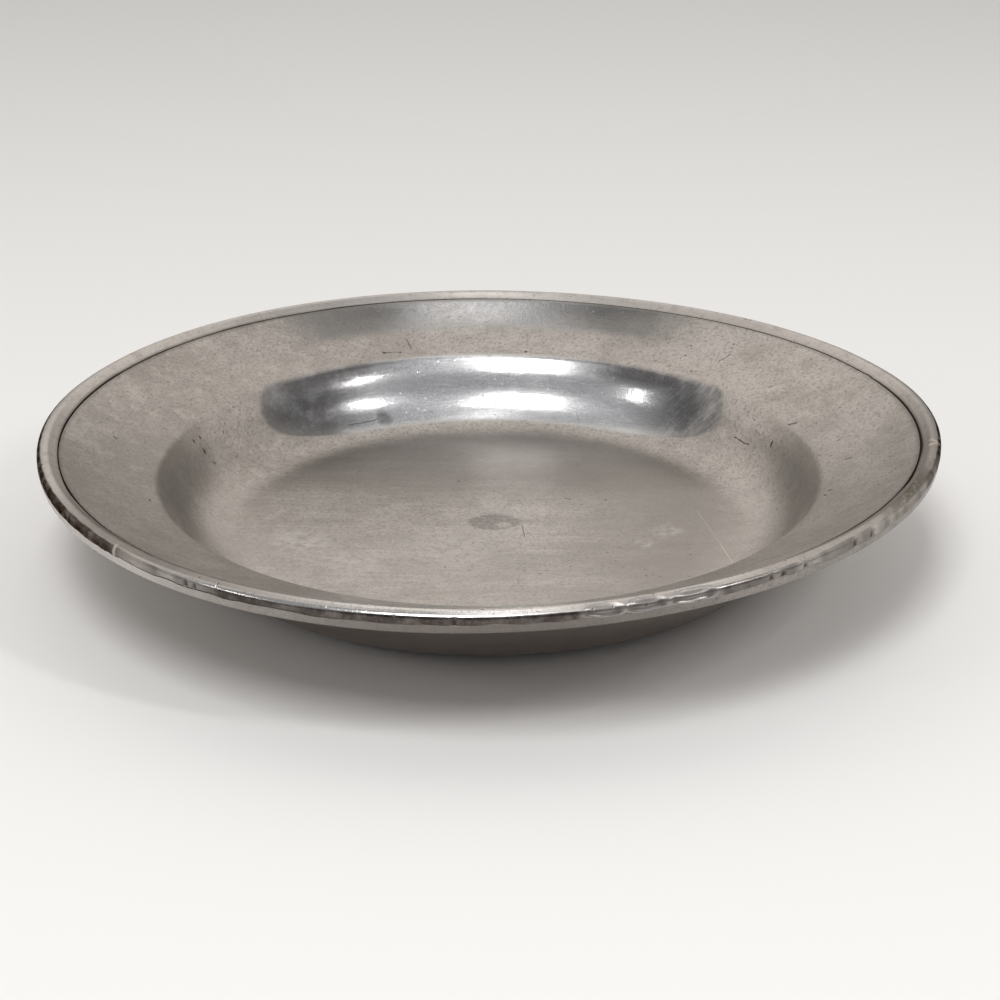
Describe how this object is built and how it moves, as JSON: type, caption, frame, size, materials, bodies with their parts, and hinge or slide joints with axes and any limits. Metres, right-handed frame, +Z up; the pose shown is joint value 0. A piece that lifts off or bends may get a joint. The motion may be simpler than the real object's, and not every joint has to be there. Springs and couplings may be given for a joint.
{
  "type": "pewter serving plate",
  "caption": "Round deep pewter serving plate with a flat well, an S-curved wall, a wide sloping flange and a soldered rim band.",
  "frame": {"origin": "middle of the flat underside, on the surface that the plate stands on", "axes": "+Z up along the axis that the plate is turned about, +X to the right as seen in the picture, +Y away from the viewer"},
  "size_m": [0.27, 0.27, 0.0404],
  "materials": {
    "worn_pewter": "satin worn pewter, warm grey, with tarnish, pits and fine scratches",
    "polished_pewter": "polished pewter band, brighter on its crest, with dents and a dirt-filled seam"
  },
  "bodies": {
    "root": {"dish": "worn_pewter", "rim_band": "polished_pewter"}
  },
  "joints": []
}
